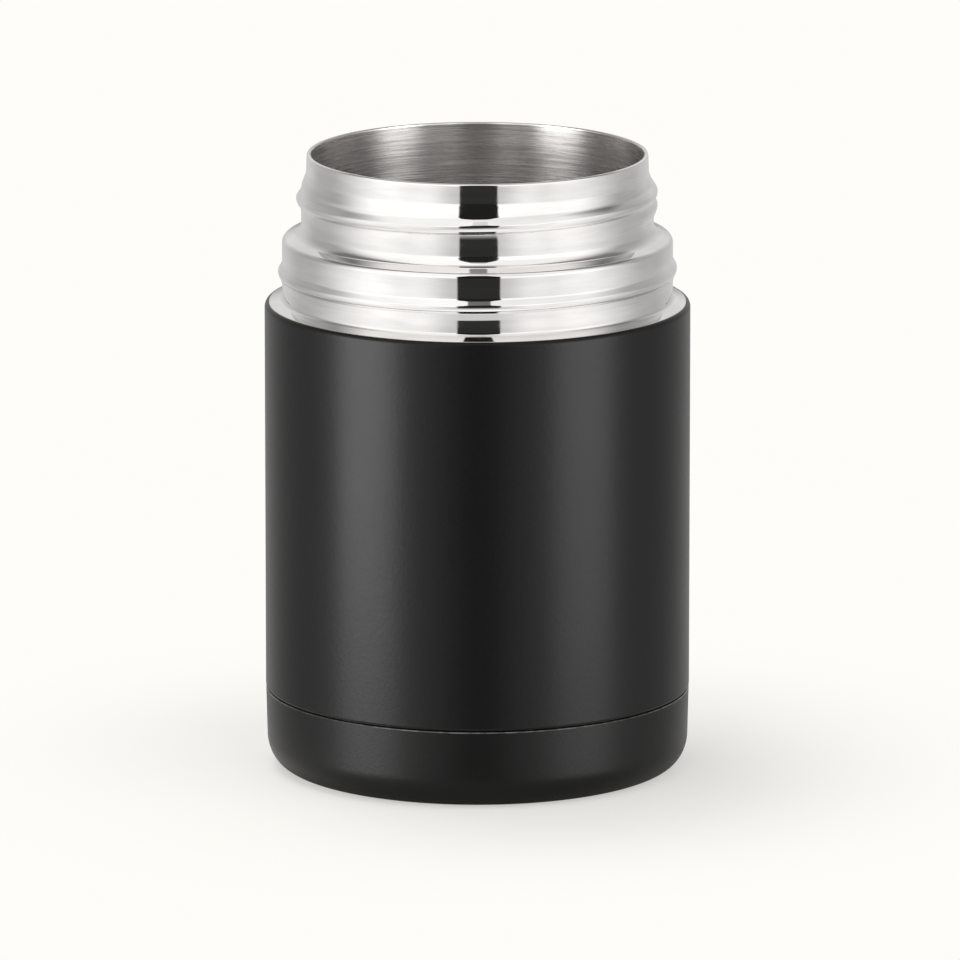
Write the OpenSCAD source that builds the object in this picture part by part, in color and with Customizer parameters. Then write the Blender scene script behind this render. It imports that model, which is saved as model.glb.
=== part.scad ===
// Insulated food jar, open, without its lid: a double-walled steel flask in a black coated casing.
// Millimetres, +Z up, origin at the centre of the base on the table.

/* [Casing] */
// Height of the open jar, from the table to the lip
jar_h = 131.6; // [125:0.1:200]
// Sheet thickness of the black shell
shell_wall = 0.5; // [0.4:0.05:0.7]
// Radius of the shell's curled-in top edge
rim_round = 0.85; // [0.75:0.05:1.2]
// Height of the seam between the shell and the base cap above the table
seam_z = 17.2; // [15:0.05:30]

/* [Neck] */
// Inside diameter of the mouth
mouth_d = 70.2; // [55:0.2:90]
// Sheet thickness of the polished neck collar
collar_wall = 0.45; // [0.35:0.05:0.6]
// Height of the plain land below the lip
land_h = 4.3; // [3:0.1:8]
// Height of the flare between the land and the upper threaded wall
flare_h = 2.7; // [2:0.1:5]
// How far the upper threaded wall stands out from the land
flare_out = 1.05; // [0.8:0.05:1.3]
// Height of the upper threaded wall
upper_wall_h = 9.6; // [9:0.1:16]
// Width of the shoulder between the two threaded walls
shoulder_w = 4.07; // [3:0.01:4.5]
// Fall of that shoulder
shoulder_fall = 1.55; // [1.2:0.05:3]
// Radius of the hollow where the upper wall turns out into the shoulder
hollow_bend = 2.8; // [1:0.1:3]
// Height of the lower threaded wall
lower_wall_h = 12.75; // [11:0.05:20]
// Width of the flange between the lower threaded wall and the black shell's rim
flange_w = 2.83; // [2.4:0.01:6]
// Fall of that flange
flange_fall = 0.85; // [0.5:0.05:2]

/* [Rolled threads] */
// Width of the upper thread's ridge at its foot
upper_ridge_w = 2.9; // [2.6:0.1:3.6]
// Height of the upper thread's ridge
upper_ridge_h = 1.05; // [0.8:0.05:1.2]
// Climb of the upper thread in one turn
upper_pitch = 3.4; // [2.5:0.1:4.2]
// Turns of the upper thread, fading ends included
upper_turns = 1.22; // [1.1:0.01:1.4]
// Width of the lower thread's ridge at its foot
lower_ridge_w = 2.7; // [2.4:0.1:3.4]
// Height of the lower thread's ridge
lower_ridge_h = 0.85; // [0.7:0.05:1.1]
// Climb of the lower thread in one turn
lower_pitch = 1.6; // [1.2:0.1:2.6]
// Turns of the lower thread, fading ends included
lower_turns = 0.95; // [0.8:0.01:1.1]

/* [Liner] */
// Width of the vacuum space between the liner's body and the shell
vacuum_gap = 3.5; // [2.5:0.1:6]
// Sheet thickness of the liner and of its bottom
liner_wall = 0.4; // [0.3:0.05:0.6]
// Inside radius where the liner's wall turns into its floor
floor_round = 8; // [5:0.5:12]
// Height of the vacuum space between the liner's floor and the plate below it
floor_gap = 5.1; // [4:0.1:9]

/* [Base] */
// Sheet thickness of the base cap
cap_wall = 0.4; // [0.3:0.05:0.5]
// Radius taken by the base cap's rounded lower corner
corner_w = 4.9; // [4:0.1:7]
// Height taken by that corner
corner_h = 6.6; // [5:0.1:7.5]
// How far the cap's wall draws in from the seam to its corner
cap_taper = 0.25; // [0:0.05:0.5]
// Width of the flat ring that the jar stands on
foot_w = 3.3; // [2.4:0.1:6]
// Height of the recess inside that ring
recess_h = 1.6; // [1:0.1:2.5]
// How far the shell's stepped-in end reaches into the cap
cap_lap = 6.9; // [5:0.1:7.5]
// Sheet thickness of the plate that closes the vacuum space
plate_wall = 0.5; // [0.4:0.05:0.7]

/* [Hidden] */

// One bend of a sheet-metal outline is drawn with a point every arc_step degrees.
arc_step = 9;
round_fn = 96;
steel = [0.80, 0.80, 0.79];
coat = [0.07, 0.07, 0.075];
copper = [0.80, 0.48, 0.32];

// Fits between the pieces
// Gap at the lip, closed by the weld, and gap between liner and collar below it
lip_gap = 0.05;
neck_gap = 0.2;
// Air round the shell's rim, play of the cap on the shell, and inset of the cap at the seam
rim_gap = 0.05;
cap_play = 0.08;
cap_inset = 0.05;
seam_gap = 0.55;

// Radii of the neck, from the mouth outwards
mouth_r = mouth_d / 2;
liner_neck_r = mouth_r + liner_wall;
lip_round = collar_wall + lip_gap;
lip_r = liner_neck_r + lip_round;
land_r = liner_neck_r + neck_gap + collar_wall;
upper_r = land_r + flare_out;
lower_r = upper_r + shoulder_w;
flange_r = lower_r + flange_w;
rim_r = flange_r + rim_gap;
shell_r = rim_r + rim_round;
skirt_r = shell_r - shell_wall;

// Bends of the neck, as radii on its outer face
flare_bend = 3;
foot_bend = 0.8;
shoulder_bend = 0.8;

// Heights of the neck, from the lip downwards
land_z = jar_h - land_h;
upper_z = land_z - flare_h;
shoulder_z = upper_z - upper_wall_h;
lower_z = shoulder_z - shoulder_fall;
flange_z = lower_z - lower_wall_h;
rim_z = flange_z - flange_fall;
// The flange dips under the shell's rim and ends in a skirt that is welded inside the shell.
dip_h = shell_wall + rim_gap;
skirt_h = 8;

// Places of the two threads on their walls, as angles seen from above, counter-clockwise from +X
upper_start = -40;
upper_rise = 5.05;
lower_start = 98;
lower_rise = 5.35;
// Angle over which a thread's end sinks into the wall, and how far it sinks
thread_fade = 60;
thread_sink = 0.12;
// Depth of a thread's root inside the wall, and the steps of its sweep
thread_root = 0.2;
ring_step = 6;
section_points = 8;

// Liner: straight mouth, then a shoulder below the neck, then the wide body
liner_r = skirt_r - vacuum_gap;
liner_drop = 1.3;
liner_shoulder_h = 6;
liner_bend = 3.5;
foil_wall = 0.1;
foil_margin = 3;

// Base: the shell's stepped-in end, the plate welded in it, and the cap over both
cap_top = seam_z - seam_gap;
cap_top_r = shell_r - cap_inset;
cap_foot_r = cap_top_r - cap_taper;
edge_chamfer = 0.2;
shell_end = seam_z - cap_lap;
step_bend = 0.75;
// Radius of the cap's outer face at a height z on its tapered wall
function cap_r_at(z) = cap_foot_r + cap_taper * (z - corner_h) / (cap_top - corner_h);
step_r = cap_r_at(shell_end) - cap_wall - cap_play;
step_in = shell_r - step_r;
recess_slope = 1;
recess_bend = 0.8;
recess_r = cap_foot_r - corner_w - foot_w;

// Plate: skirt down to the shell's end, a stiffening step, and a sealing pit with its hole
plate_r = step_r - shell_wall;
plate_skirt_h = 3.2;
plate_step_h = 0.8;
plate_bend = 2;
plate_top = shell_end + plate_skirt_h + plate_step_h;
plate_step_r = 0.7 * plate_r;
pit_r = 6;
pit_roof_r = 4;
pit_h = 2;
pit_hole_r = 1;
pit_bend = 0.8;
bead_r = 2.8;
bead_h = 1.2;

// Liner's floor, above the plate
floor_z = plate_top + floor_gap + liner_wall;
liner_joint_z = floor_z + floor_round + liner_wall;

// Getter pellet on the plate, under its spot-welded strap
getter_x = 0.45 * plate_r;
getter_r = 4;
getter_h = 1.6;
strap_w = 5;
strap_wall = 0.2;
strap_foot = 4;
strap_play = 0.15;

// Sheet-metal outlines. A path is travelled with the sheet's outer face on its left, and each
// entry of a trace holds a point of that face and the face's outward normal there.
function unit(v) = v / norm(v);
function left(v) = [-v[1], v[0]];
function turned(v, a) = [v[0] * cos(a) - v[1] * sin(a), v[0] * sin(a) + v[1] * cos(a)];

function bend(a, p, b, r) =
    let (u = unit(p - a), w = unit(b - p),
         phi = atan2(u[0] * w[1] - u[1] * w[0], u * w),
         side = sign(phi),
         hub = p - r * tan(abs(phi) / 2) * u + side * r * left(u),
         n = max(1, ceil(abs(phi) / arc_step)))
    r == 0 ? [[p, (left(u) + left(w)) / (1 + u * w)]]
           : [for (k = [0:n]) let (m = turned(left(u), phi * k / n)) [hub - side * r * m, m]];

function trace(path, bends) =
    let (last = len(path) - 1)
    concat([[path[0], left(unit(path[1] - path[0]))]],
           [for (i = [1:last - 1]) each bend(path[i - 1], path[i], path[i + 1], bends[i])],
           [[path[last], left(unit(path[last] - path[last - 1]))]]);

function outer_face(t) = [for (s = t) s[0]];
function inner_face(t, wall) = [for (s = t) s[0] - wall * s[1]];
function backwards(list) = [for (i = [len(list) - 1:-1:0]) list[i]];
function arc(hub, r, from, to) =
    let (n = ceil(abs(to - from) / arc_step))
    [for (k = [0:n]) hub + r * turned([1, 0], from + (to - from) * k / n)];

// A pressed or spun sheet: the outer face, and the inner face one wall behind it
module sheet(path, bends, wall) {
    t = trace(path, bends);
    rotate_extrude($fn = round_fn)
        polygon(concat(outer_face(t), backwards(inner_face(t, wall))));
}

// Black shell: curled-in rim, straight wall, and a stepped-in end for the base cap
module outer_shell() {
    color(coat)
        sheet([[rim_r, rim_z], [shell_r, rim_z], [shell_r, seam_z],
               [step_r, seam_z - step_in], [step_r, shell_end]],
              [0, rim_round, step_bend, step_bend, 0], shell_wall);
}

// Outer face of the neck collar, from the lip down to the skirt inside the shell
function collar_trace() =
    trace([[lip_r, jar_h - lip_round], [land_r, land_z], [upper_r, upper_z],
           [upper_r, shoulder_z], [lower_r, lower_z], [lower_r, flange_z],
           [flange_r, rim_z], [flange_r, rim_z - dip_h],
           [skirt_r, rim_z - dip_h - (skirt_r - flange_r)],
           [skirt_r, rim_z - skirt_h]],
          [0, flare_bend, flare_bend, hollow_bend, shoulder_bend, foot_bend, 0, 0, 0, 0]);

// How far a thread stands proud at an angle along it: 0 where an end has sunk, 1 between the ends
function proud(along, sweep) =
    let (t = min(1, along / thread_fade, (sweep - along) / thread_fade))
    t * t * (3 - 2 * t);

// Rolled ridge: a round-backed section swept up a right-hand helix. The section is an arc that
// meets the wall at the foot's width; inset is 0 for its outer face, and the wall's thickness
// for the groove that rolling leaves behind it. The sweep is made in two halves, because the
// ridge's end passes close over its start.
module rolled_ridge(wall_r, start_z, start, turns, pitch, width, height, inset) {
    sweep = 360 * turns;
    back_r = (width * width / 4 + height * height) / (2 * height);
    arc_r = back_r - inset;
    half = acos((back_r - height - thread_root - inset) / arc_r);
    rings = ceil(sweep / ring_step);
    middle = ceil(rings / 2);
    n = section_points + 1;
    for (first = [0, middle]) {
        last = first == 0 ? middle : rings;
        end = (last - first) * n;
        points = [for (i = [first:last])
            let (along = sweep * i / rings,
                 sunk = (1 - proud(along, sweep)) * (height + thread_sink),
                 hub_r = wall_r + height - back_r - sunk,
                 hub_z = start_z + pitch * along / 360)
            for (j = [0:section_points])
                let (b = half - 2 * half * j / section_points, r = hub_r + arc_r * cos(b))
                [r * cos(start + along), r * sin(start + along), hub_z + arc_r * sin(b)]];
        sides = [for (i = [0:last - first - 1], j = [0:n - 1])
            let (a = i * n + j, b = i * n + (j + 1) % n)
            each [[a, b + n, b], [a, a + n, b + n]]];
        start_cap = [for (j = [1:n - 2]) [0, j, j + 1]];
        end_cap = [for (j = [1:n - 2]) [end, end + j + 1, end + j]];
        polyhedron(points, concat(sides, start_cap, end_cap));
    }
}

module both_ridges(inset) {
    rolled_ridge(upper_r, shoulder_z + upper_rise, upper_start, upper_turns, upper_pitch,
                 upper_ridge_w, upper_ridge_h, inset);
    rolled_ridge(lower_r, flange_z + lower_rise, lower_start, lower_turns, lower_pitch,
                 lower_ridge_w, lower_ridge_h, inset);
}

// Neck collar: two threaded walls in polished sheet, each with its thread rolled outwards
module neck_collar() {
    t = collar_trace();
    outer = outer_face(t);
    inner = inner_face(t, collar_wall);
    lip_hub = [liner_neck_r, jar_h - lip_round];
    end_z = rim_z - skirt_h;
    color(steel)
        difference() {
            union() {
                rotate_extrude($fn = round_fn)
                    polygon(concat([[0, jar_h]], arc(lip_hub, lip_round, 90, 0), outer, [[0, end_z]]));
                both_ridges(0);
            }
            rotate_extrude($fn = round_fn)
                polygon(concat([[0, jar_h + lip_round], [liner_neck_r, jar_h + lip_round], lip_hub],
                               inner, [[inner[len(inner) - 1][0], end_z - lip_round],
                                       [0, end_z - lip_round]]));
            both_ridges(collar_wall);
        }
}

// Liner tube: straight mouth, shoulder, wide body; its lip is half of the rolled and welded rim
module liner_tube() {
    shoulder_top = rim_z - liner_drop;
    t = trace([[liner_neck_r, jar_h - liner_wall], [liner_neck_r, shoulder_top],
               [liner_r, shoulder_top - liner_shoulder_h], [liner_r, liner_joint_z]],
              [0, liner_bend, liner_bend, 0]);
    color(steel)
        rotate_extrude($fn = round_fn)
            polygon(concat(outer_face(t), backwards(inner_face(t, liner_wall)),
                           arc([liner_neck_r, jar_h - liner_wall], liner_wall, 180, 90)));
}

// Liner bottom: a drawn dish, butt-welded to the tube above its rounded corner
module liner_bottom() {
    color(steel)
        sheet([[liner_r, liner_joint_z], [liner_r, floor_z - liner_wall], [0, floor_z - liner_wall]],
              [0, floor_round + liner_wall, 0], liner_wall);
}

// Copper foil round the liner's body, which sends radiant heat back
module foil_wrap() {
    top = rim_z - liner_drop - liner_shoulder_h - foil_margin;
    color(copper)
        translate([0, 0, liner_joint_z + foil_margin])
            difference() {
                cylinder(h = top - liner_joint_z - foil_margin, r = liner_r + foil_wall, $fn = round_fn);
                translate([0, 0, -foil_margin])
                    cylinder(h = top - liner_joint_z + foil_margin, r = liner_r, $fn = round_fn);
            }
}

// Copper foil on the underside of the liner's floor
module foil_disc() {
    color(copper)
        translate([0, 0, floor_z - liner_wall - foil_wall])
            cylinder(h = foil_wall, r = liner_r - floor_round - foil_margin, $fn = round_fn);
}

// Plate that closes the vacuum space, with the pit and hole that the air was drawn out through
module vacuum_bottom() {
    step_top = plate_top - plate_step_h;
    color(steel)
        sheet([[pit_hole_r, plate_top + pit_h], [pit_roof_r, plate_top + pit_h], [pit_r, plate_top],
               [plate_step_r, plate_top], [plate_step_r + plate_step_h, step_top],
               [plate_r, step_top], [plate_r, shell_end]],
              [0, pit_bend, pit_bend, pit_bend, pit_bend, plate_bend, 0], plate_wall);
}

// Melted glass bead that seals the hole from below
module seal_bead() {
    roof = plate_top + pit_h - plate_wall;
    color([0.32, 0.40, 0.36])
        rotate_extrude($fn = round_fn)
            polygon(concat([[0, roof + plate_wall], [pit_hole_r, roof + plate_wall], [pit_hole_r, roof]],
                           [[bead_r, roof]],
                           [for (a = [15:15:90]) [bead_r * cos(a), roof - bead_h * sin(a)]]));
}

// Getter pellet, which takes up the last gas in the vacuum space
module getter() {
    color([0.35, 0.35, 0.37])
        translate([getter_x, 0, plate_top])
            cylinder(h = getter_h, r = getter_r, $fn = round_fn);
}

// Strap over the pellet, spot-welded to the plate by its two feet
module getter_strip() {
    reach = getter_r + strap_play + strap_wall;
    top = getter_h + strap_wall;
    t = trace([[-reach - strap_foot, strap_wall], [-reach, strap_wall], [-reach, top],
               [reach, top], [reach, strap_wall], [reach + strap_foot, strap_wall]],
              [0, 0, 0, 0, 0, 0]);
    color(steel)
        translate([getter_x + strap_w / 2, 0, plate_top])
            rotate([90, 0, -90])
                linear_extrude(height = strap_w)
                    polygon(concat(outer_face(t), backwards(inner_face(t, strap_wall))));
}

// Base cap: a drawn cup with a rounded corner, pushed over the shell's stepped-in end
module base_cap() {
    corner = [for (a = [arc_step:arc_step:90 - arc_step])
        [cap_foot_r - corner_w * (1 - cos(a)), corner_h * (1 - sin(a))]];
    path = concat([[cap_top_r, cap_top], [cap_foot_r, corner_h]], corner,
                  [[cap_foot_r - corner_w, 0], [recess_r, 0], [recess_r - recess_slope, recess_h],
                   [0, recess_h]]);
    bends = [for (i = [0:len(path) - 1])
        i == len(path) - 2 ? recess_bend : i == len(path) - 3 ? recess_bend : 0];
    t = trace(path, bends);
    outer = outer_face(t);
    color(coat)
        rotate_extrude($fn = round_fn)
            polygon(concat([[cap_top_r - edge_chamfer, cap_top], [cap_top_r, cap_top - edge_chamfer]],
                           [for (i = [1:len(outer) - 1]) outer[i]],
                           backwards(inner_face(t, cap_wall))));
}

outer_shell();
neck_collar();
liner_tube();
liner_bottom();
foil_wrap();
foil_disc();
vacuum_bottom();
seal_bead();
getter();
getter_strip();
base_cap();
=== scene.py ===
"""Open insulated food jar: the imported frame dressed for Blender.

The neck collar, liner, casing and base cap are drawn again as spun sheets with finer bends, a
rolled thread that fades smoothly at both ends, and soft edges. The pieces inside the vacuum
space are the frame's own, with finishes of their own. Outlines are in millimetres, as corners
of radius, height and rounding, and the meshes are in metres.
"""
from math import atan2, ceil, cos, degrees, hypot, pi, radians, sin, tan

import bmesh
import bpy
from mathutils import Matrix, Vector


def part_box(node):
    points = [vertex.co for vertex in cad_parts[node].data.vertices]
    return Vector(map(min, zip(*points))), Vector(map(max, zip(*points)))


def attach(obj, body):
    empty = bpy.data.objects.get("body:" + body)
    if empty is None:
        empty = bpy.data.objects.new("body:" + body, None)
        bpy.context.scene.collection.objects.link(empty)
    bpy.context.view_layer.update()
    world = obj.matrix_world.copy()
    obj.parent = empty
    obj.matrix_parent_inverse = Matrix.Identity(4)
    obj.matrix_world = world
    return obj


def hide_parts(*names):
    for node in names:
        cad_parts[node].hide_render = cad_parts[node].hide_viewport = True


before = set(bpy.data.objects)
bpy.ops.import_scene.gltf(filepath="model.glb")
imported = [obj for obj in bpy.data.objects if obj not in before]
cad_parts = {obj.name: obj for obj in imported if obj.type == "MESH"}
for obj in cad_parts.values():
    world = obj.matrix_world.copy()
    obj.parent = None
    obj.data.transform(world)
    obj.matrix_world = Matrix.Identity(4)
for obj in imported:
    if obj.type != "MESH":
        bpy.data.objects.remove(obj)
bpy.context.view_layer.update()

MM = 0.001

# Detail of the meshes: faces round a spun piece, degrees of bend for one row of faces, the
# distance in metres under which two points are one, and the angles between two faces past which
# their edge is a cut edge, and past which it is shaded as a crease
TURN_STEPS = 192
BEND_STEP = 6
TOUCHING = 1e-6
CUT_ANGLE = radians(50)
CREASE_ANGLE = radians(32)

# Place of each finish on a piece that has three
COATED, EDGE, HIDDEN = 0, 1, 2


def reach(node):
    """Largest radius, lowest and highest point of a node of the frame, in millimetres."""
    low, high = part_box(node)
    return high.y / MM, low.z / MM, high.z / MM


# Sizes that the frame gives
shell_r, shell_end, rim_z = reach("outer_shell")
skirt_r, skirt_end, jar_h = reach("neck_collar")
liner_outer_r, liner_joint_z, _ = reach("liner_tube")
_, dish_z, _ = reach("liner_bottom")
cap_r, _, cap_top = reach("base_cap")

# Sheet thicknesses
shell_wall = 0.5
collar_wall = 0.45
liner_wall = 0.4
cap_wall = 0.4

# Neck, from the mouth outwards and from the lip downwards
lip_round = 0.5
land_out = 0.15
flare_out = 1.05
shoulder_w = 4.07
flange_w = 2.83
land_h = 4.3
flare_h = 2.7
upper_wall_h = 9.6
shoulder_fall = 1.55
lower_wall_h = 12.75
dip_h = 0.55
flare_bend = 3
hollow_bend = 2.8
foot_bend = 0.8
shoulder_bend = 1.3
flange_edge = 0.2
thread_row_h = 0.096

# Liner below the neck
liner_flare_fall = 1.3
liner_flare_h = 6
liner_mouth_bend = 3.9
liner_body_bend = 3.1
dish_bend = 8

# Casing: its curled rim, the gap between rim and flange, and the step at its lower end
rim_round = 0.85
rim_h = 1.2
rim_gap = 0.05
seam_z = 17.2
step_in = 0.7
step_bend = 0.75
soft_edge = 0.06

# Base cap: its taper, rounded corner, foot ring and the recess inside the ring
cap_taper = 0.25
cap_chamfer = 0.2
corner_w = 4.9
corner_h = 6.6
foot_w = 3.3
recess_h = 1.6
recess_slope_w = 1
recess_bend = 0.8

# Radii and heights of the neck that follow from these
flange_r = shell_r - rim_round - rim_gap
lower_r = flange_r - flange_w
upper_r = lower_r - shoulder_w
land_r = upper_r - flare_out
lip_r = land_r - land_out
weld_r = lip_r - lip_round

land_z = jar_h - land_h
upper_z = land_z - flare_h
shoulder_z = upper_z - upper_wall_h
lower_z = shoulder_z - shoulder_fall
flange_z = lower_z - lower_wall_h


# Meshes: a line of edges is rounded at its corners, spun, and given its wall
def draw_outline(bm, corners):
    """Joins corners of (radius, height, rounding) by edges and rounds them."""
    points = [bm.verts.new((r * MM, 0, z * MM)) for r, z, _ in corners]
    for a, b in zip(points, points[1:]):
        bm.edges.new((a, b))
    for i in range(1, len(corners) - 1):
        rounding = corners[i][2]
        if not rounding:
            continue
        before, here, after = (Vector(corners[k][:2]) for k in (i - 1, i, i + 1))
        turn = (here - before).angle(after - here)
        bmesh.ops.bevel(bm, geom=[points[i]], offset=rounding * tan(turn / 2) * MM,
                        offset_type="OFFSET", affect="VERTICES", profile=0.5, material=-1,
                        segments=max(2, ceil(degrees(turn) / BEND_STEP)))
    bmesh.ops.remove_doubles(bm, verts=bm.verts, dist=TOUCHING)


def add_rows(bm, low, high, row_h):
    """Cuts the outline between two heights into rows."""
    for z in (low, high):
        bmesh.ops.bisect_plane(bm, geom=bm.verts[:] + bm.edges[:], plane_co=(0, 0, z * MM),
                               plane_no=(0, 0, 1))
    for edge in list(bm.edges):
        a, b = (v.co for v in edge.verts)
        if low * MM - TOUCHING <= min(a.z, b.z) and max(a.z, b.z) <= high * MM + TOUCHING:
            cuts = ceil((a - b).length / (row_h * MM)) - 1
            if cuts > 0:
                bmesh.ops.subdivide_edges(bm, edges=[edge], cuts=cuts)


def spin_outline(bm, faces_axis=False):
    """Spins the outline into a surface whose faces point away from the axis, or towards it."""
    bmesh.ops.spin(bm, geom=bm.verts[:] + bm.edges[:], cent=(0, 0, 0), axis=(0, 0, 1),
                   dvec=(0, 0, 0), angle=2 * pi, steps=TURN_STEPS, use_merge=True,
                   use_duplicate=False)
    bmesh.ops.remove_doubles(bm, verts=bm.verts, dist=TOUCHING)
    bmesh.ops.recalc_face_normals(bm, faces=bm.faces)
    outwards = sum(f.calc_area() * f.calc_center_median().xy.dot(f.normal.xy) for f in bm.faces)
    if (outwards > 0) == faces_axis:
        bmesh.ops.reverse_faces(bm, faces=bm.faces)


def give_wall(bm, wall, softness=0):
    """Gives the surface its wall behind its faces and softens the sheet's cut edges."""
    bmesh.ops.solidify(bm, geom=bm.faces[:], thickness=wall * MM)
    bm.normal_update()
    if softness:
        cut = [e for e in bm.edges if e.is_manifold and e.calc_face_angle() > CUT_ANGLE]
        bmesh.ops.bevel(bm, geom=cut, offset=softness * MM, offset_type="OFFSET",
                        affect="EDGES", segments=2, profile=0.5, material=-1)
        bm.normal_update()


def finish_piece(bm, name, node, finishes, choose=None):
    """Makes the mesh an object that stands for a node. choose gives a face's finish by place."""
    for face in bm.faces:
        face.smooth = True
        if choose:
            face.material_index = choose(face)
    for edge in bm.edges:
        edge.smooth = not (edge.is_manifold and edge.calc_face_angle() > CREASE_ANGLE)
    mesh = bpy.data.meshes.new(name)
    bm.to_mesh(mesh)
    bm.free()
    for finish in finishes:
        mesh.materials.append(finish)
    piece = bpy.data.objects.new(name, mesh)
    bpy.context.scene.collection.objects.link(piece)
    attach(piece, "root")
    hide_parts(node)
    return piece


# Shader maths
class Number:
    """A socket that carries a number. Arithmetic on it adds Math nodes."""

    def __init__(self, recipe, socket):
        self.recipe, self.socket = recipe, socket

    def math(self, operation, *values):
        """A Math node on all the values, in their order."""
        sockets = dict(enumerate(values))
        return self.recipe.number("ShaderNodeMath", {"operation": operation}, sockets)

    def __add__(self, other):
        return self.math("ADD", self, other)

    def __radd__(self, other):
        return self.math("ADD", other, self)

    def __sub__(self, other):
        return self.math("SUBTRACT", self, other)

    def __rsub__(self, other):
        return self.math("SUBTRACT", other, self)

    def __mul__(self, other):
        return self.math("MULTIPLY", self, other)

    def __rmul__(self, other):
        return self.math("MULTIPLY", other, self)

    def __truediv__(self, other):
        return self.math("DIVIDE", self, other)

    def __abs__(self):
        return self.math("ABSOLUTE", self)

    def to(self, other, share):
        """This number where share is 0, the other where it is 1."""
        return self + (other - self) * share

    def rise(self, low, high):
        """0 below low, 1 above high, and smooth between."""
        settings = {"interpolation_type": "SMOOTHSTEP"}
        return self.recipe.number("ShaderNodeMapRange", settings, {0: self, 1: low, 2: high})

    def hump(self, centre, width):
        """1 at the centre, falling smoothly to 0 at a width to either side."""
        return 1 - abs(self - centre).rise(0, width)


class Recipe:
    """The node tree of one finish, or of the world."""

    def __init__(self, owner):
        owner.use_nodes = True
        self.tree = owner.node_tree
        self.tree.nodes.clear()

    def node(self, kind, settings, sockets):
        """Adds a node, makes its settings, and then fills its sockets with values or links."""
        made = self.tree.nodes.new(kind)
        for key, value in settings.items():
            setattr(made, key, value)
        for key, value in sockets.items():
            target = made.inputs[key]
            if isinstance(value, Number):
                value = value.socket
            if isinstance(value, bpy.types.NodeSocket):
                self.tree.links.new(value, target)
            else:
                target.default_value = value
        return made

    def number(self, kind, settings, sockets, output=0):
        return Number(self, self.node(kind, settings, sockets).outputs[output])

    def place(self, stretch=(1, 1, 1)):
        """Object coordinates in metres, stretched."""
        coordinates = self.node("ShaderNodeTexCoord", {}, {}).outputs["Object"]
        sockets = {"Vector": coordinates, "Scale": stretch}
        return self.node("ShaderNodeMapping", {}, sockets).outputs[0]

    def parts(self, vector):
        """The three numbers of a vector."""
        axes = self.node("ShaderNodeSeparateXYZ", {}, {0: vector})
        return [Number(self, socket) for socket in axes.outputs]

    def noise_at(self, vector, detail, roughness):
        """Noise from about 0.2 to 0.8 that changes with each step of 1 in the vector."""
        sockets = {"Vector": vector, "Scale": 1, "Detail": detail, "Roughness": roughness}
        return self.number("ShaderNodeTexNoise", {}, sockets)

    def noise(self, stretch, detail=2, roughness=0.5):
        """Noise with stretch cells in a metre along each axis."""
        return self.noise_at(self.place(stretch), detail, roughness)

    def tint(self, mask, first, second):
        """A colour between two, by a mask."""
        sockets = {0: mask, 6: (*first, 1), 7: (*second, 1)}
        return self.node("ShaderNodeMix", {"data_type": "RGBA"}, sockets).outputs[2]

    def bump(self, height, depth_mm, strength):
        sockets = {"Height": height, "Distance": depth_mm * MM, "Strength": strength}
        return self.node("ShaderNodeBump", {}, sockets).outputs[0]

    def surface(self, sockets):
        shader = self.node("ShaderNodeBsdfPrincipled", {}, sockets)
        self.node("ShaderNodeOutputMaterial", {}, {"Surface": shader.outputs[0]})


def new_finish(name):
    material = bpy.data.materials.new(name)
    return material, Recipe(material)


def black_coat(name, grain_mm, roughness, shade):
    """Satin powder coat on steel: black, finely grained, with slow changes of gloss."""
    material, r = new_finish(name)
    grain = r.noise((1 / (grain_mm * MM),) * 3, detail=3, roughness=0.6)
    cloud = r.noise((60, 60, 35), detail=3)
    darkest, palest = 0.75, 1.25
    r.surface({
        "Base Color": r.tint(grain, [darkest * c for c in shade], [palest * c for c in shade]),
        "Roughness": roughness + 0.05 * (cloud - 0.5) + 0.06 * (grain - 0.5),
        "Specular IOR Level": 0.22,
        "Normal": r.bump(grain, depth_mm=0.04, strength=0.55),
    })
    return material


def polished_steel():
    """Bright polished sheet with faint lines from the polishing wheel, which run round it."""
    material, r = new_finish("polished_steel")
    lines = r.noise((15, 15, 5000), detail=2)
    haze = r.noise((35, 35, 260), detail=4, roughness=0.6).rise(0.35, 0.65)
    r.surface({
        "Base Color": r.tint(haze, (0.79, 0.78, 0.77), (0.90, 0.89, 0.88)),
        "Metallic": 1.0,
        "Roughness": 0.03 + 0.03 * haze + 0.02 * (lines - 0.5),
        "Normal": r.bump(lines, depth_mm=0.0015, strength=0.5),
    })
    return material


def brushed_steel():
    """Liner's bore, brushed round its wall: fine lines, and highlights drawn up and down it."""
    material, r = new_finish("brushed_steel")
    fine = r.noise((110, 110, 8000), detail=3, roughness=0.6)
    broad = r.noise((45, 45, 2600), detail=3, roughness=0.6)
    lines = (0.5 * fine + 0.5 * broad).rise(0.32, 0.68)
    r.surface({
        "Base Color": r.tint(lines, (0.58, 0.565, 0.55), (0.76, 0.745, 0.73)),
        "Metallic": 1.0,
        "Roughness": 0.22 + 0.08 * lines,
        "Anisotropic": 0.7,
        "Anisotropic Rotation": 0.25,
        "Normal": r.bump(lines, depth_mm=0.0015, strength=0.6),
    })
    return material


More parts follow.
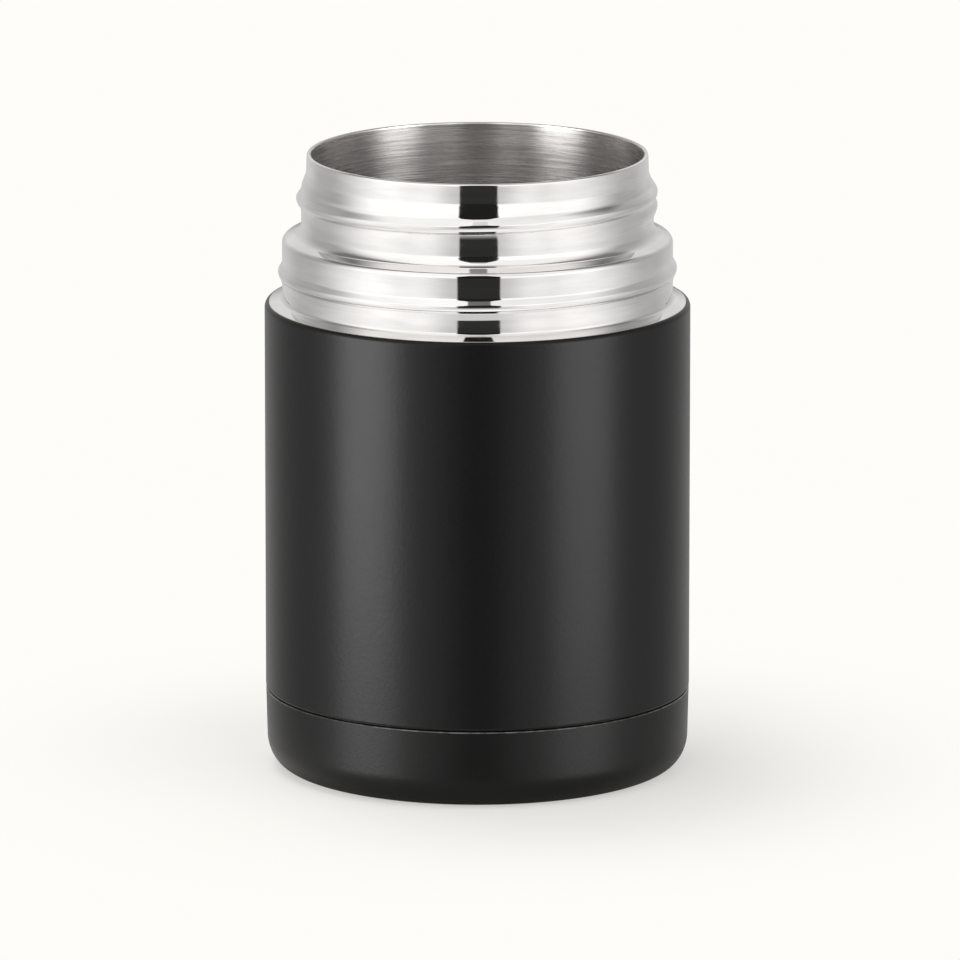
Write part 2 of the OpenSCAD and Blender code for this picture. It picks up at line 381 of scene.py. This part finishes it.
def spun_steel():
    """Liner's floor, brushed as it turned: broken rings round the axis."""
    material, r = new_finish("spun_steel")
    x, y, _ = r.parts(r.place())
    radius = x.math("SQRT", x * x + y * y)
    rings = r.node("ShaderNodeCombineXYZ", {}, {0: radius * 2400, 1: x * 45, 2: y * 45})
    lines = r.noise_at(rings.outputs[0], detail=3, roughness=0.6).rise(0.32, 0.68)
    r.surface({
        "Base Color": r.tint(lines, (0.58, 0.565, 0.55), (0.74, 0.725, 0.71)),
        "Metallic": 1.0,
        "Roughness": 0.25 + 0.08 * lines,
        "Anisotropic": 0.4,
        "Anisotropic Rotation": 0.25,
        "Normal": r.bump(lines, depth_mm=0.0015, strength=0.6),
    })
    return material


def mill_steel():
    """Unpolished sheet as it leaves the press, on the faces that nobody sees."""
    material, r = new_finish("mill_steel")
    drawn = r.noise((120, 120, 500), detail=3)
    r.surface({
        "Base Color": r.tint(drawn, (0.50, 0.49, 0.47), (0.66, 0.65, 0.63)),
        "Metallic": 1.0,
        "Roughness": 0.36 + 0.15 * (drawn - 0.5),
        "Normal": r.bump(drawn, depth_mm=0.01, strength=0.5),
    })
    return material


def cut_edge():
    """Bare turned edge of the sheet."""
    material, r = new_finish("cut_edge")
    turned = r.noise((60, 60, 4000), detail=2)
    r.surface({
        "Base Color": r.tint(turned, (0.62, 0.61, 0.60), (0.78, 0.77, 0.76)),
        "Metallic": 1.0,
        "Roughness": 0.22 + 0.1 * (turned - 0.5),
    })
    return material


def rubbed_edge():
    """Coated edge at the seam, worn thin by handling so that some steel shines through."""
    material, r = new_finish("rubbed_edge")
    worn = r.noise((700, 700, 700), detail=3).rise(0.35, 0.65)
    r.surface({
        "Base Color": r.tint(worn, (0.11, 0.109, 0.108), (0.22, 0.218, 0.215)),
        "Metallic": 1.0,
        "Roughness": 0.34 - 0.06 * worn,
    })
    return material


def copper_foil():
    """Thin copper foil, wrinkled a little where it was wound on."""
    material, r = new_finish("copper_foil")
    wrinkle = r.noise((180, 180, 90), detail=4)
    r.surface({
        "Base Color": r.tint(wrinkle, (0.72, 0.32, 0.19), (0.86, 0.44, 0.28)),
        "Metallic": 1.0,
        "Roughness": 0.2 + 0.25 * (wrinkle - 0.4),
        "Normal": r.bump(wrinkle, depth_mm=0.12, strength=0.6),
    })
    return material


def solder_glass():
    """Melted sealing glass: dark green grey, glossy, with small bubbles."""
    material, r = new_finish("solder_glass")
    bubbles = r.noise((1500, 1500, 1500), detail=2)
    r.surface({
        "Base Color": r.tint(bubbles, (0.07, 0.10, 0.08), (0.13, 0.17, 0.14)),
        "Roughness": 0.1 + 0.2 * (bubbles - 0.4),
        "Normal": r.bump(bubbles, depth_mm=0.03, strength=0.4),
    })
    return material


def getter_metal():
    """Pressed metal powder: dull, dark and grainy."""
    material, r = new_finish("getter_metal")
    powder = r.noise((4000, 4000, 4000), detail=3)
    r.surface({
        "Base Color": r.tint(powder, (0.08, 0.08, 0.085), (0.20, 0.20, 0.21)),
        "Metallic": 0.7,
        "Roughness": 0.6 + 0.2 * (powder - 0.5),
        "Normal": r.bump(powder, depth_mm=0.04, strength=0.7),
    })
    return material


# Rolled threads
class Thread:
    """One right-hand thread rolled outwards from a wall.

    start is an angle from +X, in degrees. above, below and lip are pairs of a distance and the
    sheet's tilt there, in degrees. Those of above and below start at the crest's middle line. The
    upper side is stretched to end on the wall. The lower side ends at the corner of a low lip,
    which slopes back to the wall and whose distances start at that corner.
    """

    # Degrees over which an end sinks into the wall, distance between two heights of the section,
    # and how far the section reaches down and up from the crest
    fade = 60
    step = 0.005
    span_below = 3.3
    span_above = 2

    def __init__(self, start_z, start, turns, pitch, height, above, below, lip):
        self.start_z, self.start, self.pitch = start_z, start, pitch
        self.sweep = 360 * turns
        lip_falls, above_falls = self.falls(lip), self.falls(above)
        lip_h = lip_falls[-1]
        self.above = [height * (1 - fall / above_falls[-1]) for fall in above_falls]
        self.below = [h for h in (height - fall for fall in self.falls(below)) if h > lip_h]
        self.below += [lip_h - fall for fall in lip_falls]

    def falls(self, tilts):
        """How far the sheet has fallen at each step, from pairs of a distance and a tilt."""
        falls, fall = [0], 0
        for (z, tilt), (next_z, next_tilt) in zip(tilts, tilts[1:]):
            count = round((next_z - z) / self.step)
            for k in range(count):
                fall += self.step * tan(radians(tilt + (next_tilt - tilt) * (k + 0.5) / count))
                falls.append(fall)
        return falls

    def proud(self, along):
        """Share of the full height at an angle along the thread, whose ends fade smoothly."""
        t = max(0, min(1, along / self.fade, (self.sweep - along) / self.fade))
        return t * t * (3 - 2 * t)

    def section(self, off):
        """How far the sheet stands out at a height over or under the crest's middle line."""
        side = self.above if off > 0 else self.below
        place = abs(off) / self.step
        k = int(place)
        if k + 1 >= len(side):
            return 0
        return side[k] + (side[k + 1] - side[k]) * (place - k)

    def stands_out(self, azimuth, z):
        """Height of the thread over its wall at a place on it."""
        out, along = 0, (azimuth - self.start) % 360
        while along < self.sweep:
            off = z - self.start_z - self.pitch * along / 360
            out = max(out, self.proud(along) * self.section(off))
            along += 360
        return out

    def span(self):
        """Lowest and highest point of the wall that the thread may move."""
        rise = self.pitch * self.sweep / 360
        return self.start_z - self.span_below, self.start_z + rise + self.span_above


upper_thread = Thread(
    start_z=shoulder_z + 5.05, start=-40, turns=1.22, pitch=3.4, height=1.05,
    above=[(0, 0), (0.35, 35), (1.3, 35), (1.95, 0)],
    below=[(0, 0), (0.95, 28), (1.5, 44), (1.8, 60), (2.5, 60)], lip=[(0, 9), (1.6, 0)])
lower_thread = Thread(
    start_z=flange_z + 5.34, start=98, turns=0.95, pitch=1.6, height=0.85,
    above=[(0, 0), (0.32, 32), (1.15, 32), (1.85, 0)],
    below=[(0, 0), (0.95, 28), (1.2, 33), (1.6, 37), (1.75, 50), (2.5, 50)],
    lip=[(0, 10), (1.5, 10)])


def roll_thread(bm, thread):
    """Pushes the wall out along the thread."""
    low, high = thread.span()
    for v in bm.verts:
        z = v.co.z / MM
        if low < z < high:
            azimuth = degrees(atan2(v.co.y, v.co.x))
            out = thread.stands_out(azimuth, z) * MM
            if out:
                flat = Vector((v.co.x, v.co.y, 0)).normalized()
                v.co += out * flat


# Pieces that stand for nodes
def neck_collar(finish):
    bm = bmesh.new()
    draw_outline(bm, [
        (weld_r, jar_h, 0), (lip_r, jar_h, lip_round), (land_r, land_z, flare_bend),
        (upper_r, upper_z, flare_bend), (upper_r, shoulder_z, hollow_bend),
        (lower_r, lower_z, shoulder_bend), (lower_r, flange_z, foot_bend),
        (flange_r, rim_z, flange_edge), (flange_r, rim_z - dip_h, 0),
        (skirt_r, rim_z - dip_h - (skirt_r - flange_r), 0), (skirt_r, skirt_end, 0)])
    for thread in (upper_thread, lower_thread):
        add_rows(bm, *thread.span(), thread_row_h)
    spin_outline(bm)
    roll_thread(bm, upper_thread)
    roll_thread(bm, lower_thread)
    give_wall(bm, collar_wall)
    return finish_piece(bm, "threaded_neck", "neck_collar", [finish])


def liner_tube(finish):
    bore_r = weld_r - liner_wall
    body_r = liner_outer_r - liner_wall
    flare_top = rim_z - liner_flare_fall
    bm = bmesh.new()
    draw_outline(bm, [
        (weld_r, jar_h, 0), (bore_r, jar_h, liner_wall), (bore_r, flare_top, liner_mouth_bend),
        (body_r, flare_top - liner_flare_h, liner_body_bend), (body_r, liner_joint_z, 0)])
    spin_outline(bm, faces_axis=True)
    give_wall(bm, liner_wall)
    return finish_piece(bm, "liner_mouth_and_body", "liner_tube", [finish])


def liner_bottom(finish):
    body_r = liner_outer_r - liner_wall
    floor_z = dish_z + liner_wall
    bm = bmesh.new()
    draw_outline(bm, [(body_r, liner_joint_z, 0), (body_r, floor_z, dish_bend), (0, floor_z, 0)])
    spin_outline(bm, faces_axis=True)
    give_wall(bm, liner_wall)
    return finish_piece(bm, "liner_floor", "liner_bottom", [finish])


def outer_shell(coat, bare, inside):
    end_r = shell_r - step_in
    bm = bmesh.new()
    rim = [(shell_r - rim_round * (1 - sin(radians(a))), rim_z - rim_h * (1 - cos(radians(a))), 0)
           for a in range(0, 91, BEND_STEP)]
    draw_outline(bm, [
        *rim, (shell_r, seam_z, step_bend),
        (end_r, seam_z - step_in, step_bend), (end_r, shell_end, 0)])
    spin_outline(bm)
    give_wall(bm, shell_wall, soft_edge)
    cut_r = shell_r - rim_round + 0.03
    rim_coat_z = rim_z - 0.1

    def choose(face):
        centre = face.calc_center_median()
        radius, z = hypot(centre.x, centre.y) / MM, centre.z / MM
        if z > rim_z - rim_round and radius < cut_r:
            return EDGE
        looks_out = centre.x * face.normal.x + centre.y * face.normal.y > 0
        return COATED if looks_out or z > rim_coat_z else HIDDEN

    return finish_piece(bm, "casing", "outer_shell", [coat, bare, inside], choose)


def base_cap(coat, edge, inside):
    foot_r = cap_r - cap_taper
    ring_outer_r = foot_r - corner_w
    ring_inner_r = ring_outer_r - foot_w
    corner = [(foot_r - corner_w * (1 - cos(radians(a))), corner_h * (1 - sin(radians(a))), 0)
              for a in range(5, 90, 5)]
    bm = bmesh.new()
    draw_outline(bm, [
        (cap_r - cap_chamfer, cap_top, 0), (cap_r, cap_top - cap_chamfer, 0),
        (foot_r, corner_h, 0), *corner, (ring_outer_r, 0, 0), (ring_inner_r, 0, recess_bend),
        (ring_inner_r - recess_slope_w, recess_h, recess_bend), (0, recess_h, 0)])
    spin_outline(bm)
    give_wall(bm, cap_wall)
    edge_z = cap_top - cap_chamfer - 0.001

    def choose(face):
        centre = face.calc_center_median()
        if centre.z / MM > edge_z:
            return EDGE
        looks_up = face.normal.z >= 0.3
        return COATED if centre.dot(face.normal) > 0 and not looks_up else HIDDEN

    return finish_piece(bm, "foot_cap", "base_cap", [coat, edge, inside], choose)


# Studio: a pale tent with a dark gap behind the camera, which the polished steel shows, a softbox
# on each side of it for the coat and the liner, three more above it for the liner alone, a lamp
# from behind for the floor alone, and a pale floor
PAGE = (0.991, 0.983, 0.947)


def studio_world():
    """The tent by its azimuth from the front, to the right, and its height, both in degrees."""
    world = bpy.data.worlds.new("studio")
    bpy.context.scene.world = world
    r = Recipe(world)
    direction = r.node("ShaderNodeTexCoord", {}, {}).outputs["Generated"]
    x, y, z = r.parts(direction)
    side = x.math("ARCTAN2", x, 0 - y) * (180 / pi)
    up = z.math("ARCSINE", z) * (180 / pi)
    off = abs(side)
    right = side.rise(-8, 8)

    # Brightness at each height: level with the jar, above it, high up, overhead, and below it
    low_tent = (0.49 + 0.15 * (1 - off.rise(25, 50)) + (0.66 - 0.08 * right) * off.hump(62, 56)
                + 0.13 * off.hump(32, 18) + 0.1 * off.rise(128, 150)
                + 0.05 * off.hump(161 + 9 * right, 24))
    high_tent = 0.42 + 0.82 * (1 - off.rise(70, 112)) + 0.36 * off.rise(122, 172)
    crown = 0.2 + (0.92 - 0.12 * right) * (1 - off.rise(75, 118)) + 0.45 * off.rise(145, 172)
    zenith = 0.45
    table = (0.75 + 0.25 * off.hump(60, 45) - 0.2 * off.rise(90, 110)
             + 0.3 * (1 - off.rise(20, 50)) * (1 - up.rise(-50, -36)))
    back_seam = 1 - 0.35 * off.rise(172, 177)
    tent = low_tent * back_seam
    tent = tent.to(high_tent, up.rise(2, 14)).to(crown, up.rise(32, 42))
    tent = tent.to(zenith, up.rise(74, 86)).to(table, 1 - up.rise(-36, -28))

    # The gap, which narrows upwards and ends below the zenith
    gap_middle = 0.75
    gap_width = 1 + 0.1 * up.rise(10, 30) - 0.52 * up.rise(38, 62)
    aside = abs(side - gap_middle) / gap_width
    gap = (1 - aside.rise(11.9, 13.1)) * (1 - up.rise(50, 68)) * up.rise(-34, -16)
    gap_level = 0.03 - 0.014 * up.rise(4, 8)
    level = tent.to(gap_level, gap)

    seen = r.node("ShaderNodeLightPath", {}, {}).outputs["Is Camera Ray"]
    studio = r.node("ShaderNodeBackground", {}, {"Color": (1, 0.992, 0.98, 1), "Strength": level})
    page = r.node("ShaderNodeBackground", {}, {"Color": (*PAGE, 1), "Strength": 1})
    sockets = {0: seen, 1: studio.outputs[0], 2: page.outputs[0]}
    shown = r.node("ShaderNodeMixShader", {}, sockets)
    r.node("ShaderNodeOutputWorld", {}, {"Surface": shown.outputs[0]})


def softbox(name, azimuth, distance, height, size, level, aim_z, lights):
    """Lamp that faces a point on the jar's axis and lights only the pieces in lights.

    azimuth is in degrees from the front, to the right. size is its width and height, and level
    the brightness of its face, where 1 is white. Lengths are in metres.
    """
    lamp = bpy.data.lights.new(name, "AREA")
    lamp.shape, (lamp.size, lamp.size_y) = "RECTANGLE", size
    lamp.energy = level * pi * size[0] * size[1]
    box = bpy.data.objects.new(name, lamp)
    angle = radians(azimuth)
    box.location = (distance * sin(angle), -distance * cos(angle), height)
    away = box.location - Vector((0, 0, aim_z))
    box.rotation_euler = away.to_track_quat("Z", "Y").to_euler()
    bpy.context.scene.collection.objects.link(box)
    lit = bpy.data.collections.new(name + "_lights")
    for piece in lights:
        lit.objects.link(piece)
    box.light_linking.receiver_collection = lit


def pale_floor():
    """Floor that fades into the page, and that polished steel sees only close to the jar."""
    floor_r, under_foot = 0.9, 0.02 * MM
    bm = bmesh.new()
    bmesh.ops.create_circle(bm, cap_ends=True, segments=96, radius=floor_r)
    bmesh.ops.translate(bm, verts=bm.verts, vec=(0, 0, -under_foot))
    mesh = bpy.data.meshes.new("floor")
    bm.to_mesh(mesh)
    bm.free()
    floor = bpy.data.objects.new("floor", mesh)
    bpy.context.scene.collection.objects.link(floor)
    material, r = new_finish("pale_floor")
    away = r.node("ShaderNodeTexCoord", {}, {}).outputs["Object"]
    distance = r.number("ShaderNodeVectorMath", {"operation": "LENGTH"}, {0: away}, output=1)
    path = r.node("ShaderNodeLightPath", {}, {}).outputs
    glossy, shadow = Number(r, path["Is Glossy Ray"]), Number(r, path["Is Shadow Ray"])
    # The camera sees the floor to 0.6 m from the axis, reflections and shadows only to 0.075 m
    indirect = glossy.math("MAXIMUM", glossy, shadow)
    clear = distance.rise(0.25, 0.6).to(distance.rise(0.05, 0.075), indirect)
    # It is part lit cloth near the jar, which takes its shadow, and glows like the page further out
    cloth = r.node("ShaderNodeBsdfDiffuse", {}, {"Color": (*PAGE, 1)})
    glow = r.node("ShaderNodeEmission", {}, {"Color": (*PAGE, 1), "Strength": 1})
    share = (0.5 + 0.5 * distance.rise(0.05, 0.13)) * Number(r, path["Is Camera Ray"])
    lit = r.node("ShaderNodeMixShader", {}, {0: share, 1: cloth.outputs[0], 2: glow.outputs[0]})
    gone = r.node("ShaderNodeBsdfTransparent", {}, {})
    mixed = r.node("ShaderNodeMixShader", {}, {0: clear, 1: lit.outputs[0], 2: gone.outputs[0]})
    r.node("ShaderNodeOutputMaterial", {}, {"Surface": mixed.outputs[0]})
    mesh.materials.append(material)
    return floor


def photo_camera():
    """The photograph's viewpoint: 2.5 m away, looking down a little at the jar's middle.

    The picture's width, the focal length and the place of the jar's axis are in pixels.
    """
    distance, pitch, aim_z = 2.5, radians(12.255), 0.061
    picture, focal, axis_x = 960, 11791, 477.5
    lens = bpy.data.cameras.new("camera")
    lens.sensor_width = 36
    lens.lens = lens.sensor_width * focal / picture
    lens.shift_x = (picture / 2 - axis_x) / picture
    lens.clip_start, lens.clip_end = 0.1, 20
    camera = bpy.data.objects.new("camera", lens)
    camera.location = (0, -distance * cos(pitch), aim_z + distance * sin(pitch))
    camera.rotation_euler = (pi / 2 - pitch, 0, 0)
    bpy.context.scene.collection.objects.link(camera)
    bpy.context.scene.camera = camera


photo_camera()
studio_world()
floor = pale_floor()

shell_coat = black_coat("shell_coat", 0.9, 0.32, (0.0026, 0.0026, 0.0027))
cap_coat = black_coat("cap_coat", 0.7, 0.34, (0.0026, 0.0026, 0.0026))
polished = polished_steel()
brushed = brushed_steel()
mill = mill_steel()
bare = cut_edge()

neck_collar(polished)
liner = [liner_tube(brushed), liner_bottom(spun_steel())]
coated = [outer_shell(shell_coat, bare, mill), base_cap(cap_coat, rubbed_edge(), mill)]

mouth_z = jar_h * MM
both = liner + coated
softbox("left_box", -61, 1.0, 0.09, size=(0.6, 0.7), level=6.9, aim_z=0.09, lights=both)
softbox("right_box", 58, 1.0, 0.09, size=(0.6, 0.7), level=4.1, aim_z=0.09, lights=both)
softbox("left_top_box", -60, 0.9, 0.7, size=(0.26, 0.4), level=7, aim_z=mouth_z, lights=liner)
softbox("right_top_box", 60, 0.9, 0.7, size=(0.26, 0.4), level=9, aim_z=mouth_z, lights=liner)
softbox("front_box", 0, 1.0, 0.7, size=(0.9, 0.5), level=1.2, aim_z=mouth_z, lights=liner)
softbox("floor_lamp", -135, 0.49, 1.1, size=(0.6, 0.6), level=3.9, aim_z=0, lights=[floor])

foil = copper_foil()
carried = {"foil_wrap": foil, "foil_disc": foil, "vacuum_bottom": mill,
           "seal_bead": solder_glass(), "getter": getter_metal(), "getter_strip": mill}
for name, finish in carried.items():
    for material_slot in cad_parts[name].material_slots:
        material_slot.material = finish

bpy.context.scene.view_settings.view_transform = "Standard"
